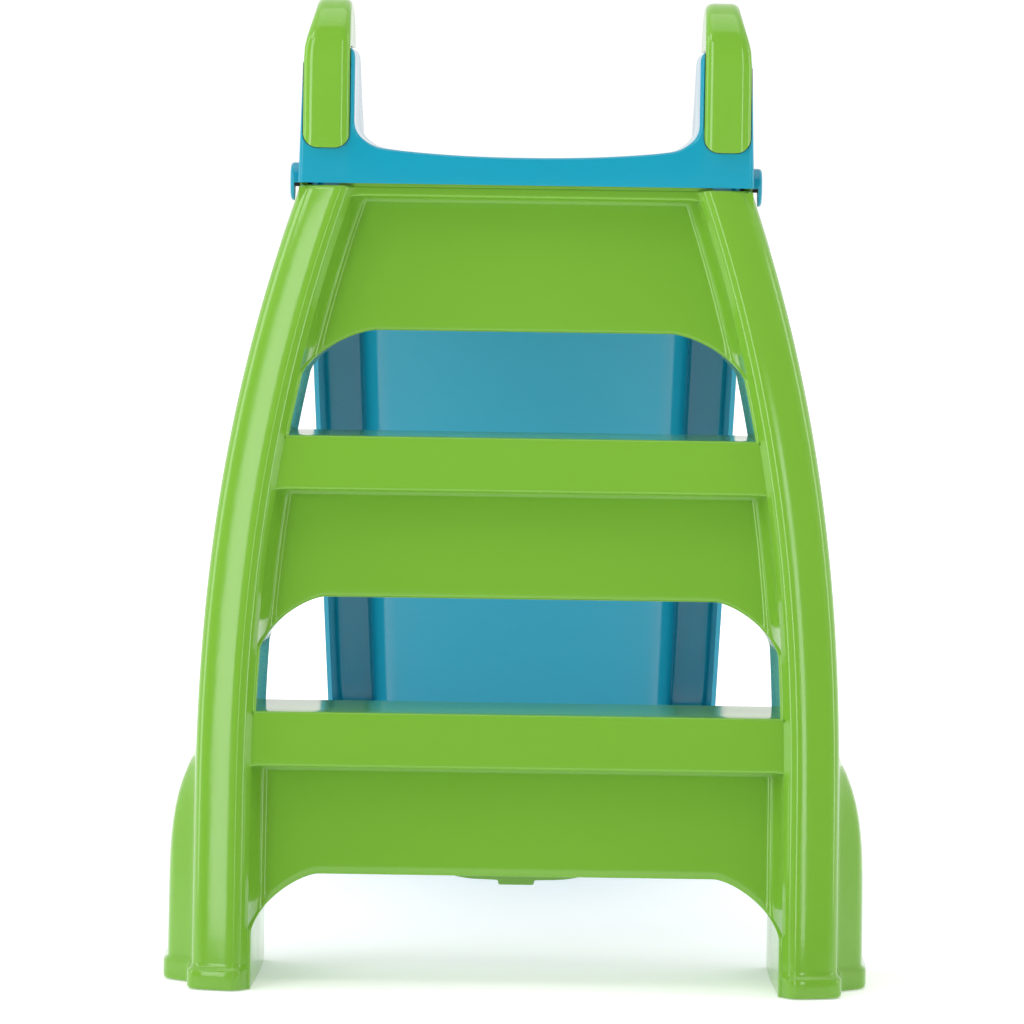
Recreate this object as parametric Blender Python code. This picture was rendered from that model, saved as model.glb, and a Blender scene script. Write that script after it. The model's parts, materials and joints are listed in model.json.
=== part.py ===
"""Toddler slide: a blue chute moulding with a deck, two green handrails and a green
ladder moulding that folds under the chute on two pins.

Metres, +Z up. X is across the slide, +Y runs down the chute, and the origin is on the
floor under the middle of the whole slide. A child sliding down faces +Y, so left is -X.
"""

from math import cos, hypot, pi, radians, sin, tan

import bmesh
import bpy

MM = 0.001

# ---- driving dimensions -------------------------------------------------------------
LENGTH = 965 * MM                 # along Y, ladder feet to the chute's low end
SLIDE_HALF_WIDTH = 137.5 * MM     # over the side walls' lower edges, on the slope
DECK_HALF_WIDTH = 135.7 * MM      # the same at the deck
DECK_HEIGHT = 490 * MM            # top of the deck on its centre line
WALL = 3 * MM                     # every moulded wall
GAP = 0.3 * MM                    # between pieces that touch
CUT_REACH = 100 * MM              # how far cutters run past what they cut

FEET_BACK = -LENGTH / 2           # furthest back point, the feet's rear lips
DECK_BACK = FEET_BACK + 83 * MM   # rear face of the deck
CHUTE_END = LENGTH / 2

# chute: the bed's side profile
SLOPE = radians(36)
BED_DROP = 16.4 * MM              # side wall's lower edge below the bed
LOWER_EDGE_BEND = -248.6 * MM     # where the lower edge leaves the deck's level
DECK_BEND_RADIUS = 100 * MM
RUN_OUT_RADIUS = 345 * MM
EXIT_SLOPE = radians(4)
RUN_OUT_TAIL = 4 * MM             # straight stretch at the low end
EXIT_FLARE = 15 * MM              # extra half width at the low end
FLARE_LENGTH = 130 * MM
NARROW_TO = 150 * MM              # the deck's width up to here, from its rear face
WIDEN_LENGTH = 250 * MM           # then out to the slope's width in this length

# chute: its cross-section
FIN_HEIGHT = 65 * MM              # fin's crest above the deck
RAIL_HEIGHT = 40 * MM             # side rail's crest above the bed
FIN_LENGTH = 100 * MM             # full height up to here, from the deck's rear face
FIN_FALL = 52 * MM                # then down to the rail's height in this length
RAIL_INNER = 104.5 * MM           # rail's inner face from the centre line
BED_EDGE = 93 * MM                # the sagging bed ends here
BED_SAG = 5 * MM
SIDE_DRAFT = 0.028                # side walls lean in this much per unit of height

# ladder
LADDER_TOP = 472.2 * MM
LEG_LEAN = 78.5 * MM              # how far the leg's front leans in, floor to top
LEG_BULGE_Z = 110 * MM            # the legs are widest here
LEG_HALF_WIDTH = 190.5 * MM
LEG_TAPER = 52.4 * MM             # narrower than that each side, 353 mm above the bulge
LEG_WIDTH = 36 * MM               # leg's front, outside face to step end
NOSE_BACK = 8 * MM                # step fronts behind the legs' crowns
PANEL_BACK = 20 * MM              # recessed panels behind the step fronts
STEP_DEPTH = 80 * MM
STEP_HEIGHT = 32 * MM
STEP_TOPS = (162 * MM, 324 * MM)
TOP_LIP = 6.5 * MM
LIP_HALF_WIDTH = 112 * MM         # raised part of the top edge, inside the deck
LIP_TOP = 475.4 * MM
FOOT_DEPTH = 143 * MM
FOOT_FLARE = 16 * MM
FLARE_TOP = 135 * MM
FLARE_FULL = 85 * MM
FOOT_LIP = 2.5 * MM
FOOT_LIP_HEIGHT = 12 * MM
REAR_DRAFT = 1.5 * MM             # the legs' outer faces widen this much to the rear
# floor and top of each opening, with its upper corners' half axes along X and Z
OPENINGS = (
    (-10 * MM, 65.4 * MM, 38 * MM, 32 * MM),
    (162 * MM, 228 * MM, 37 * MM, 30 * MM),
    (324 * MM, 386 * MM, 43 * MM, 27 * MM),
)
CORNER_POWER = 1.5                # 2 would be elliptical, 1 a straight chamfer

# hinge
PIVOT_Y = DECK_BACK + 29.5 * MM
PIVOT_Z = 474 * MM
PIN_RADIUS = 3 * MM
PIN_HEAD = 6 * MM
LUG_RADIUS = 8.9 * MM
EAR_RADIUS = 11.5 * MM
EAR_OUTER = 141.2 * MM
EAR_INNER = 138.8 * MM
LUG_OUTER = 135.4 * MM
LUG_INNER = 130.7 * MM

# handrail
RAIL_GRIP_X = (105.6 * MM, 133.2 * MM)
HANDRAIL_FOOT = 494.5 * MM
HANDRAIL_TOP = 584 * MM
HANDRAIL_PROUD = 5 * MM           # behind the deck's rear face
HANDRAIL_LENGTH = 101 * MM        # its front tip, from the deck's rear face
HANDRAIL_SPRING = 554 * MM        # its rear starts to curve forward here
HANDRAIL_TOP_BACK = 30 * MM       # its highest point, from the deck's rear face
POCKET_DEPTH = 11.5 * MM
POCKET_CLEARANCE = 0.5 * MM
POCKET_CORNER = 9 * MM
SCREW_Y = (DECK_BACK + 40 * MM, DECK_BACK + 78 * MM)
SCREW_X = 119.4 * MM
SCREW_SHANK = 1.8 * MM
SCREW_HEAD = 4 * MM
SCREW_LENGTH = 14 * MM

GREEN = (0.205, 0.456, 0.048)
BLUE = (0.031, 0.356, 0.497)
STEEL = (0.56, 0.57, 0.58)
DARK = (0.055, 0.06, 0.065)


# ---- helpers ------------------------------------------------------------------------
def clear_scene():
    for ob in list(bpy.data.objects):
        bpy.data.objects.remove(ob, do_unlink=True)


def material(name, colour, roughness, metallic=0.0):
    mat = bpy.data.materials.new(name)
    mat.use_nodes = True
    shader = mat.node_tree.nodes["Principled BSDF"]
    shader.inputs["Base Color"].default_value = (*colour, 1.0)
    shader.inputs["Roughness"].default_value = roughness
    shader.inputs["Metallic"].default_value = metallic
    return mat


def add_object(name, bm, mat=None, origin=(0.0, 0.0, 0.0)):
    """An object from a bmesh whose points are in world space."""
    bm.normal_update()
    bmesh.ops.recalc_face_normals(bm, faces=bm.faces)
    bmesh.ops.translate(bm, verts=bm.verts, vec=[-c for c in origin])
    mesh = bpy.data.meshes.new(name)
    bm.to_mesh(mesh)
    bm.free()
    ob = bpy.data.objects.new(name, mesh)
    ob.location = origin
    bpy.context.scene.collection.objects.link(ob)
    if mat:
        mesh.materials.append(mat)
    return ob


def add_cutter(name, bm):
    ob = add_object(name, bm)
    ob.hide_render = True
    ob.display_type = "WIRE"
    return ob


def loft(bm, rings, strip_ends=False):
    """A closed solid through rings of points, with flat ends.

    strip_ends closes each end with a strip from the ring's first half to its second.
    """
    made = [[bm.verts.new(p) for p in ring] for ring in rings]
    count = len(made[0])
    faces = []
    for a, b in zip(made, made[1:]):
        for i in range(count):
            j = (i + 1) % count
            faces.append(bm.faces.new((a[i], a[j], b[j], b[i])))
    for ring in (made[0], made[-1]):
        if strip_ends:
            for i in range(count // 2 - 1):
                quad = (ring[i], ring[i + 1], ring[count - 2 - i], ring[count - 1 - i])
                faces.append(bm.faces.new(quad))
        else:
            faces.append(bm.faces.new(ring))
    bmesh.ops.recalc_face_normals(bm, faces=bm.faces)
    bmesh.ops.triangulate(bm, faces=faces)


def prism_x(bm, outline, x0, x1):
    """An outline in (y, z) swept along X."""
    loft(bm, [[(x, y, z) for y, z in outline] for x in (x0, x1)])


def prism_y(bm, outline, y0, y1):
    """An outline in (x, z) swept along Y."""
    loft(bm, [[(x, y, z) for x, z in outline] for y in (y0, y1)])


def box(bm, low, high):
    outline = [
        (low[1], low[2]), (high[1], low[2]), (high[1], high[2]), (low[1], high[2]),
    ]
    prism_x(bm, outline, low[0], high[0])


def circle(cy, cz, radius, count):
    turns = [2 * pi * i / count for i in range(count)]
    return [(cy + radius * cos(a), cz + radius * sin(a)) for a in turns]


def mirrored(bm):
    """Adds the bmesh's mirror image across X = 0."""
    twin = bmesh.ops.duplicate(bm, geom=bm.verts[:] + bm.edges[:] + bm.faces[:])
    verts = [g for g in twin["geom"] if isinstance(g, bmesh.types.BMVert)]
    for v in verts:
        v.co.x = -v.co.x


def cut(ob, cutter, operation="DIFFERENCE"):
    mod = ob.modifiers.new(cutter.name, "BOOLEAN")
    mod.operation = operation
    mod.object = cutter
    mod.solver = "EXACT"


def smooth_step(t):
    t = min(1.0, max(0.0, t))
    return t * t * (3 - 2 * t)


def offset_path(points, distance):
    """An open path moved sideways to its right-hand side, with mitred corners."""
    result = []
    for i, (x, y) in enumerate(points):
        normals = []
        for a, b in ((i - 1, i), (i, i + 1)):
            if 0 <= a and b < len(points):
                dx = points[b][0] - points[a][0]
                dy = points[b][1] - points[a][1]
                length = hypot(dx, dy)
                normals.append((dy / length, -dx / length))
        nx = sum(n[0] for n in normals) / len(normals)
        ny = sum(n[1] for n in normals) / len(normals)
        scale = distance / (nx * nx + ny * ny)
        result.append((x + nx * scale, y + ny * scale))
    return result


# ---- ladder -------------------------------------------------------------------------
def leg_outer(z):
    """Half the ladder's width over the legs' fronts."""
    rise = max(0.0, z - LEG_BULGE_Z) / (353 * MM)
    return LEG_HALF_WIDTH - LEG_TAPER * rise ** 2.27


def leg_front(z):
    """Y of the legs' front crowns."""
    return FEET_BACK + FOOT_LIP + LEG_LEAN * (z / (474 * MM)) ** 1.25


def steps_rear(z):
    """Y of the steps' rear edges."""
    return leg_front(z) + NOSE_BACK + STEP_DEPTH


def fold_limit(z):
    """Y that the ladder's rear stays in front of, so that its top clears the deck."""
    return PIVOT_Y - 1.5 * MM + (LADDER_TOP - z) / tan(radians(60))


def flare(z):
    """How much of the foot's flare there is at this height, 0 to 1."""
    return smooth_step((FLARE_TOP - z) / (FLARE_TOP - FLARE_FULL))


def ladder_rear(z):
    straight = min(steps_rear(z), fold_limit(z))
    return straight + flare(z) * (FEET_BACK + FOOT_DEPTH - steps_rear(z))


def ladder_half(z, recess):
    """The ladder's front skin at one height, from its rear corner to the centre."""
    outer = leg_outer(z)
    front = leg_front(z)
    rear = ladder_rear(z)
    wing = FOOT_FLARE * flare(z)
    lip = FOOT_LIP if z <= FOOT_LIP_HEIGHT else 0.0
    end = outer - LEG_WIDTH
    nose = front + NOSE_BACK
    draft = REAR_DRAFT * smooth_step((LADDER_TOP - z) / (80 * MM))
    points = [
        (outer + wing + lip + draft, rear),
        (outer + wing + lip + draft / 3, min(front + 56 * MM, rear - 4 * MM)),
        (outer + 0.7 * wing + lip, min(front + 44 * MM, rear - 8 * MM)),
        (outer + lip, min(front + 34 * MM, rear - 12 * MM)),
        (outer + lip, front - lip + 9 * MM),
        (outer + lip - 2 * MM, front - lip + 4.5 * MM),
        (outer - 7 * MM, front - lip + 1 * MM),
        (outer - 15 * MM, front - lip),
        (outer - 26 * MM, front - lip + 0.8 * MM),
        (outer - 31 * MM, front - 0.8 * lip + 4 * MM),
        (end, nose),
    ]
    cove = [(2, 6), (6, 13), (14, 18.5), (26, 20)]
    for across, back in cove:
        depth = back * MM * (PANEL_BACK / (20 * MM)) if recess else 0.0
        points.append((end - across * MM, nose + depth))
    points.append((0.0, nose + (PANEL_BACK if recess else 0.0)))
    return points


def ladder_ring(z, recess, inset=0.0, open_rear=0.0):
    half = ladder_half(z, recess)
    if inset:
        half = offset_path(half, inset)
    half[0] = (half[0][0], half[0][1] + open_rear)
    left = [(-x, y) for x, y in reversed(half[:-1])]
    return [(x, y, z) for x, y in half + left]


def ladder_rows(lift):
    """Heights of the rings with whether the panels are recessed there.

    lift raises the underside of each step front, which makes the inside's ledges.
    """
    step = 0.1 * MM
    rows = []
    for z in (14, 35, 60, 85, 95, 105, 115, 125):
        rows.append((z * MM, True))
    for index, top in enumerate(STEP_TOPS):
        under = top - STEP_HEIGHT + lift
        rows.append((under - step, True))
        rows.append((under + step, False))
        rows.append((top - 12 * MM, False))
        rows.append((top, False))
        rows.append((top + 0.5 * MM, True))
        for k in range(1, 5):
            rows.append((top + k * 25 * MM, True))
        if index:
            rows.append((top + 5 * 25 * MM, True))
    return rows


def ladder_body(bm):
    lip_under = LADDER_TOP - TOP_LIP
    rows = [(0.0, True), (FOOT_LIP_HEIGHT, True)] + ladder_rows(0.0)
    rows += [(lip_under - 0.1 * MM, True), (lip_under + 0.1 * MM, False), (LADDER_TOP, False)]
    loft(bm, [ladder_ring(z, recess) for z, recess in rows])


def ladder_inside(bm):
    rows = [(WALL, True), (FOOT_LIP_HEIGHT, True)] + ladder_rows(WALL)
    rows += [(LADDER_TOP - WALL, True)]
    loft(bm, [ladder_ring(z, recess, WALL, 8 * MM) for z, recess in rows])


def ladder_openings(bm, grow):
    """The spaces through the ladder, each wider by grow all round."""
    for floor, top, corner_x, corner_z in OPENINGS:
        spring = top - corner_z
        side_heights = [floor - grow, (floor + spring) / 2, spring]
        side = [(leg_outer(z) - LEG_WIDTH + 0.8 * MM + grow, z) for z in side_heights]
        centre_x = side[-1][0] - grow - corner_x
        arc = []
        for i in range(1, 9):
            a = i * pi / 16
            arc.append((
                centre_x + (corner_x + grow) * cos(a) ** (2 / CORNER_POWER),
                spring + (corner_z + grow) * sin(a) ** (2 / CORNER_POWER),
            ))
        half = side + arc
        outline = half + [(-x, z) for x, z in reversed(half)]
        prism_y(bm, outline, FEET_BACK - CUT_REACH, FEET_BACK + FOOT_DEPTH + CUT_REACH)


def foot_clearance(bm, grow):
    """The space between the feet behind the bottom step."""
    rings = []
    for z in (-12 * MM, FLARE_TOP + 5 * MM + grow):
        half_width = LEG_HALF_WIDTH - LEG_WIDTH + 0.4 * MM + grow
        start = steps_rear(max(z, 0.0))
        end = FEET_BACK + FOOT_DEPTH + 1.1 * CUT_REACH
        rings.append([
            (-half_width, start, z), (half_width, start, z),
            (half_width, end, z), (-half_width, end, z),
        ])
    loft(bm, rings)


def hinge_lugs(bm):
    """A gusset inside each leg's top that carries the eye for the pin."""
    eye = [
        (PIVOT_Y + LUG_RADIUS * cos(a), PIVOT_Z + LUG_RADIUS * sin(a))
        for a in [radians(-65 + 15 * i) for i in range(19)]
    ]
    top_front = (leg_front(LADDER_TOP) + 5 * MM, LADDER_TOP - 1 * MM)
    outline = eye + [
        top_front,
        (top_front[0] - 1.5 * MM, LADDER_TOP - 30 * MM),
        (PIVOT_Y - 9 * MM, LADDER_TOP - 30 * MM),
    ]
    prism_x(bm, outline, LUG_INNER, LUG_OUTER)
    mirrored(bm)


def catch_lip(bm):
    """The shallow lip with a tab under the bottom step's rear edge."""
    rear = steps_rear(66 * MM)
    half = [
        (0.0, 53.8 * MM), (10.5 * MM, 53.8 * MM), (10.5 * MM, 56.6 * MM),
        (30 * MM, 57.2 * MM), (42.5 * MM, 59.6 * MM), (42.5 * MM, 67.4 * MM),
    ]
    outline = half + [(-x, z) for x, z in reversed(half[1:])]
    prism_y(bm, outline, rear - 3.5 * MM, rear - 0.5 * MM)


def raised_lip(bm):
    """The middle of the top edge, which stands up inside the deck's rear wall."""
    front = leg_front(LADDER_TOP) + NOSE_BACK + 0.1 * MM
    low = (-LIP_HALF_WIDTH, front, LADDER_TOP - 1 * MM)
    high = (LIP_HALF_WIDTH, front + WALL, LIP_TOP)
    box(bm, low, high)


def build_ladder(green):
    body = bmesh.new()
    ladder_body(body)
    ladder = add_object("ladder_frame", body, green)

    openings = bmesh.new()
    ladder_openings(openings, 0.0)
    cut(ladder, add_cutter("cut_ladder_openings", openings))
    clearance = bmesh.new()
    foot_clearance(clearance, 0.0)
    cut(ladder, add_cutter("cut_foot_clearance", clearance))

    inside = bmesh.new()
    ladder_inside(inside)
    inside_ob = add_cutter("cut_ladder_inside", inside)
    grown = bmesh.new()
    ladder_openings(grown, WALL)
    cut(inside_ob, add_cutter("keep_opening_walls", grown))
    grown_clearance = bmesh.new()
    foot_clearance(grown_clearance, WALL)
    cut(inside_ob, add_cutter("keep_foot_walls", grown_clearance))
    cut(ladder, inside_ob)

    lugs = bmesh.new()
    hinge_lugs(lugs)
    cut(ladder, add_cutter("add_lugs", lugs), "UNION")
    lip = bmesh.new()
    raised_lip(lip)
    cut(ladder, add_cutter("add_raised_lip", lip), "UNION")
    catch = bmesh.new()
    catch_lip(catch)
    cut(ladder, add_cutter("add_catch", catch), "UNION")
    bores = bmesh.new()
    bore = circle(PIVOT_Y, PIVOT_Z, PIN_RADIUS + GAP, 16)
    prism_x(bores, bore, LUG_INNER - 2 * MM, LUG_OUTER + 2 * MM)
    mirrored(bores)
    cut(ladder, add_cutter("cut_lug_bores", bores))
    head_room = bmesh.new()
    spot_face = circle(PIVOT_Y, PIVOT_Z, PIN_HEAD + 0.6 * MM, 16)
    prism_x(head_room, spot_face, LUG_INNER - 3.4 * MM, LUG_INNER + 0.1 * MM)
    mirrored(head_room)
    cut(ladder, add_cutter("cut_pin_head_room", head_room))
    return ladder


# ---- chute --------------------------------------------------------------------------
def bed_path():
    """Points of the bed's side profile: (y, z, slope, distance along it)."""
    z_offset = BED_DROP / cos(SLOPE)
    deck_under = DECK_HEIGHT - BED_DROP

    def slope_z(y):
        return deck_under + z_offset - (y - LOWER_EDGE_BEND) * tan(SLOPE)

    bend_y = LOWER_EDGE_BEND + (z_offset - BED_DROP) / tan(SLOPE)
    reach = DECK_BEND_RADIUS * tan(SLOPE / 2)
    stations = [(DECK_BACK + d * MM, DECK_HEIGHT, 0.0) for d in (0, 2.5, 3.5, 50, 97)]
    bend_start = bend_y - reach
    for i in range(7):
        a = SLOPE * i / 6
        stations.append((
            bend_start + DECK_BEND_RADIUS * sin(a),
            DECK_HEIGHT - DECK_BEND_RADIUS * (1 - cos(a)),
            a,
        ))
    turn = SLOPE - EXIT_SLOPE
    reach = RUN_OUT_RADIUS * tan(turn / 2)
    bed_end = CHUTE_END - RAIL_HEIGHT * sin(EXIT_SLOPE)
    corner_y = bed_end - RUN_OUT_TAIL - reach * cos(EXIT_SLOPE)
    start_y = corner_y - reach * cos(SLOPE)
    start_z = slope_z(start_y)
    first = stations[-1]
    for i in (1, 2, 3):
        y = first[0] + (start_y - first[0]) * i / 4
        stations.append((y, slope_z(y), SLOPE))
    centre_y = start_y + RUN_OUT_RADIUS * sin(SLOPE)
    centre_z = start_z + RUN_OUT_RADIUS * cos(SLOPE)
    for i in range(8):
        a = SLOPE - turn * i / 7
        stations.append((
            centre_y - RUN_OUT_RADIUS * sin(a), centre_z - RUN_OUT_RADIUS * cos(a), a,
        ))
    tail = stations[-1]
    for d in (RUN_OUT_TAIL - 3.2 * MM, RUN_OUT_TAIL - 2.5 * MM, RUN_OUT_TAIL):
        y = tail[0] + d
        stations.append((y, tail[1] - d * tan(EXIT_SLOPE), EXIT_SLOPE))
    path = []
    distance = 0.0
    for i, (y, z, a) in enumerate(stations):
        if i:
            distance += hypot(y - stations[i - 1][0], z - stations[i - 1][1])
        path.append((y, z, a, distance))
    return path


def edge_drop(y, z, a):
    """How far the side wall reaches below the bed, square to it, down to the floor."""
    deck_under = DECK_HEIGHT - BED_DROP
    if a == 0.0:
        return BED_DROP
    to_floor = z / cos(a)
    line = deck_under + LOWER_EDGE_BEND * tan(SLOPE)
    to_line = (z - line + y * tan(SLOPE)) / (cos(a) + tan(SLOPE) * sin(a))
    to_deck_level = (z - deck_under) / cos(a)
    return min(to_floor, max(to_line, min(to_deck_level, BED_DROP)))


def rail_height(distance):
    fall = smooth_step((distance - FIN_LENGTH) / FIN_FALL)
    return FIN_HEIGHT + (RAIL_HEIGHT - FIN_HEIGHT) * fall


def chute_half(drop, crest, widen):
    """The chute's top skin in (x, height), from the outer wall's foot to the centre."""
    outer = SLIDE_HALF_WIDTH + widen
    inner = RAIL_INNER + widen
    bed = BED_EDGE + widen
    lean = SIDE_DRAFT * (crest - 10 * MM + drop)
    points = [
        (outer, -drop),
        (outer - lean, crest - 10 * MM),
        (outer - lean - 2 * MM, crest - 3.5 * MM),
        (outer - lean - 7.5 * MM, crest),
        (inner + 7.5 * MM, crest),
        (inner + 2.5 * MM, crest - 2 * MM),
        (inner + 0.5 * MM, crest - 7 * MM),
        (inner, 22 * MM),
        (inner - 1.5 * MM, 14.5 * MM),
        (inner - 5.5 * MM, 8.2 * MM),
        (bed, BED_SAG),
    ]
    for share in (0.78, 0.5, 0.25, 0.0):
        points.append((bed * share, BED_SAG * share ** 2.2))
    return points


def inner_foot(widen):
    """Where the rail's inner face meets the bed's rounded edge."""
    return RAIL_INNER + widen - 3.5 * MM


def chute_ring(station, solid):
    y, z, a, distance = station
    drop = edge_drop(y, z, a)
    crest = rail_height(distance)
    widen = EXIT_FLARE * smooth_step(1 - (CHUTE_END - y) / FLARE_LENGTH)
    narrow = 1 - smooth_step((distance - NARROW_TO) / WIDEN_LENGTH)
    widen -= (SLIDE_HALF_WIDTH - DECK_HALF_WIDTH) * narrow
    top = chute_half(drop, crest, widen)
    # the path runs inwards and the hollow is on its left, so the offset is negative
    under = offset_path(top, -WALL)
    under[0] = (under[0][0], -drop)
    if solid:
        rail_points = 10
        edge = under[0][0]
        step = (edge - inner_foot(widen)) / (rail_points - 1)
        flat = [(edge - i * step, -drop) for i in range(rail_points)]
        under = flat + [(0.98 * x, -drop) for x, _ in top[rail_points:]]
    full_top = top + [(-x, h) for x, h in reversed(top[:-1])]
    full_under = under + [(-x, h) for x, h in reversed(under[:-1])]
    outline = full_top + list(reversed(full_under))
    return [(x, y + h * sin(a), z + h * cos(a)) for x, h in outline]


def chute_shell(bm):
    path = bed_path()
    last = len(path) - 1
    rings = []
    for i, station in enumerate(path):
        solid = i in (0, 1, last - 1, last)
        rings.append(chute_ring(station, solid))
    loft(bm, rings, strip_ends=True)


def hinge_ears(bm):
    outline = circle(PIVOT_Y, PIVOT_Z, EAR_RADIUS, 24)
    prism_x(bm, outline, DECK_HALF_WIDTH - WALL + 0.1 * MM, EAR_OUTER)
    mirrored(bm)


def ear_hollows(bm):
    outline = circle(PIVOT_Y, PIVOT_Z, LUG_RADIUS + 0.8 * MM, 24)
    prism_x(bm, outline, LUG_INNER - 3 * MM, EAR_INNER)
    mirrored(bm)


def ear_undersides(bm):
    reach = EAR_RADIUS + 2 * MM
    low = (LUG_INNER - 3.2 * MM, PIVOT_Y - reach, PIVOT_Z - reach)
    high = (EAR_INNER, PIVOT_Y + reach, DECK_HEIGHT - BED_DROP - 0.2 * MM)
    box(bm, low, high)
    mirrored(bm)


def stop_ribs(bm):
    """Ribs under the deck that rest on the ladder's top."""
    low = (56 * MM, DECK_BACK + 9.7 * MM, LADDER_TOP + GAP)
    high = (60 * MM, DECK_BACK + 19 * MM, DECK_HEIGHT + 0.3 * MM)
    box(bm, low, high)
    mirrored(bm)


def handrail_pockets(bm):
    """Slots in the fins' rear faces, open at the top, with rounded lower corners."""
    x0 = RAIL_GRIP_X[0] - POCKET_CLEARANCE
    x1 = RAIL_GRIP_X[1] + POCKET_CLEARANCE
    floor = HANDRAIL_FOOT - POCKET_CLEARANCE
    top = DECK_HEIGHT + FIN_HEIGHT + 20 * MM
    outline = [(x1, top), (x0, top)] + rounded_foot(x0, x1, floor)
    prism_y(bm, outline, DECK_BACK - 10 * MM, DECK_BACK + POCKET_DEPTH)
    mirrored(bm)


def rounded_foot(x0, x1, floor):
    """The two lower corners of an upright strip, from x0's side to x1's."""
    points = []
    for centre, start in ((x0 + POCKET_CORNER, pi), (x1 - POCKET_CORNER, 1.5 * pi)):
        for i in range(5):
            a = start + i * pi / 8
            points.append((
                centre + POCKET_CORNER * cos(a), floor + POCKET_CORNER * (1 + sin(a)),
            ))
    return points


def upright_cylinders(bm, radius, z0, z1, count):
    for y in SCREW_Y:
        outline = circle(SCREW_X, y, radius, count)
        loft(bm, [[(px, py, z) for px, py in outline] for z in (z0, z1)])


def build_chute(blue):
    shell = bmesh.new()
    chute_shell(shell)
    chute = add_object("slide_chute", shell, blue)
    steps = (
        ("add_ears", hinge_ears, "UNION"),
        ("cut_ear_hollows", ear_hollows, "DIFFERENCE"),
        ("cut_ear_undersides", ear_undersides, "DIFFERENCE"),
        ("add_stop_ribs", stop_ribs, "UNION"),
        ("cut_handrail_pockets", handrail_pockets, "DIFFERENCE"),
    )
    for name, shape, operation in steps:
        bm = bmesh.new()
        shape(bm)
        cut(chute, add_cutter(name, bm), operation)
    bores = bmesh.new()
    bore = circle(PIVOT_Y, PIVOT_Z, PIN_RADIUS + GAP, 16)
    prism_x(bores, bore, EAR_INNER - 1 * MM, EAR_OUTER + 2 * MM)
    mirrored(bores)
    cut(chute, add_cutter("cut_ear_bores", bores))
    holes = bmesh.new()
    crest = DECK_HEIGHT + FIN_HEIGHT
    upright_cylinders(holes, SCREW_SHANK + GAP, crest - 6 * MM, crest + 4 * MM, 12)
    mirrored(holes)
    cut(chute, add_cutter("cut_screw_holes", holes))
    return chute


# ---- handrails ----------------------------------------------------------------------
def handrail_outer():
    """The handrail's rear, top and front in (y, z), from its foot to its front tip."""
    rear = DECK_BACK - HANDRAIL_PROUD
    top_y = DECK_BACK + HANDRAIL_TOP_BACK
    tip_y = DECK_BACK + HANDRAIL_LENGTH
    seat = DECK_HEIGHT + FIN_HEIGHT + GAP
    points = [(rear, HANDRAIL_FOOT)]
    for i in range(7):
        a = pi - i * pi / 12
        points.append((
            top_y + (top_y - rear) * cos(a),
            HANDRAIL_SPRING + (HANDRAIL_TOP - HANDRAIL_SPRING) * sin(a),
        ))
    for i in range(1, 7):
        a = pi / 2 - i * pi / 12
        points.append((
            top_y + (tip_y - top_y) * cos(a),
            seat + 1.5 * MM + (HANDRAIL_TOP - seat - 1.5 * MM) * sin(a),
        ))
    return points


def handrail_outline(inset, spread, foot_rise):
    """The handrail's side view. spread moves its seat faces into the fin."""
    outer = handrail_outer()
    if inset:
        outer = offset_path(outer, inset)
    outer[0] = (outer[0][0], HANDRAIL_FOOT + foot_rise)
    seat = DECK_HEIGHT + FIN_HEIGHT + GAP - spread
    inner = DECK_BACK + POCKET_DEPTH - POCKET_CLEARANCE + spread
    return outer + [(outer[-1][0], seat), (inner, seat), (inner, outer[0][1])]


def build_handrail(name, side, green):
    x0, x1 = RAIL_GRIP_X
    bm = bmesh.new()
    rings = []
    edge = 2.2 * MM
    for across in (0.0, edge, 5 * MM, POCKET_CORNER):
        rise = POCKET_CORNER - (POCKET_CORNER ** 2 - (POCKET_CORNER - across) ** 2) ** 0.5
        outline = handrail_outline(max(0.0, edge - across), 0.0, rise)
        rings.append((across, outline))
    width = x1 - x0
    rings += [(width - across, outline) for across, outline in reversed(rings)]
    loft(bm, [[(side * (x0 + across), y, z) for y, z in o] for across, o in rings])
    rail = add_object(name, bm, green)

    hollow = bmesh.new()
    hollow_outline = handrail_outline(WALL + 0.5 * MM, 4 * MM, 6 * MM)
    prism_x(hollow, hollow_outline, side * (x0 + WALL), side * (x1 - WALL))
    cut(rail, add_cutter(name + "_hollow", hollow))

    seat = DECK_HEIGHT + FIN_HEIGHT + GAP
    bosses = bmesh.new()
    for y, top in zip(SCREW_Y, (HANDRAIL_TOP - 3 * MM, HANDRAIL_TOP - 9 * MM)):
        ring = circle(side * SCREW_X, y, 4.5 * MM, 12)
        loft(bosses, [[(px, py, z) for px, py in ring] for z in (seat, top)])
    cut(rail, add_cutter(name + "_bosses", bosses), "UNION")

    bores = bmesh.new()
    for y in SCREW_Y:
        ring = circle(side * SCREW_X, y, SCREW_SHANK + GAP, 12)
        top = seat + SCREW_LENGTH - 2 * MM
        loft(bores, [[(px, py, z) for px, py in ring] for z in (seat - 5 * MM, top)])
    cut(rail, add_cutter(name + "_bores", bores))
    return rail


# ---- fasteners ----------------------------------------------------------------------
def turned(bm, profile, count, place):
    """A solid turned from (radius, distance) pairs; place maps (u, v, distance)."""
    rings = []
    for radius, along in profile:
        rings.append([place(u, v, along) for u, v in circle(0.0, 0.0, radius, count)])
    loft(bm, rings)


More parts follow.
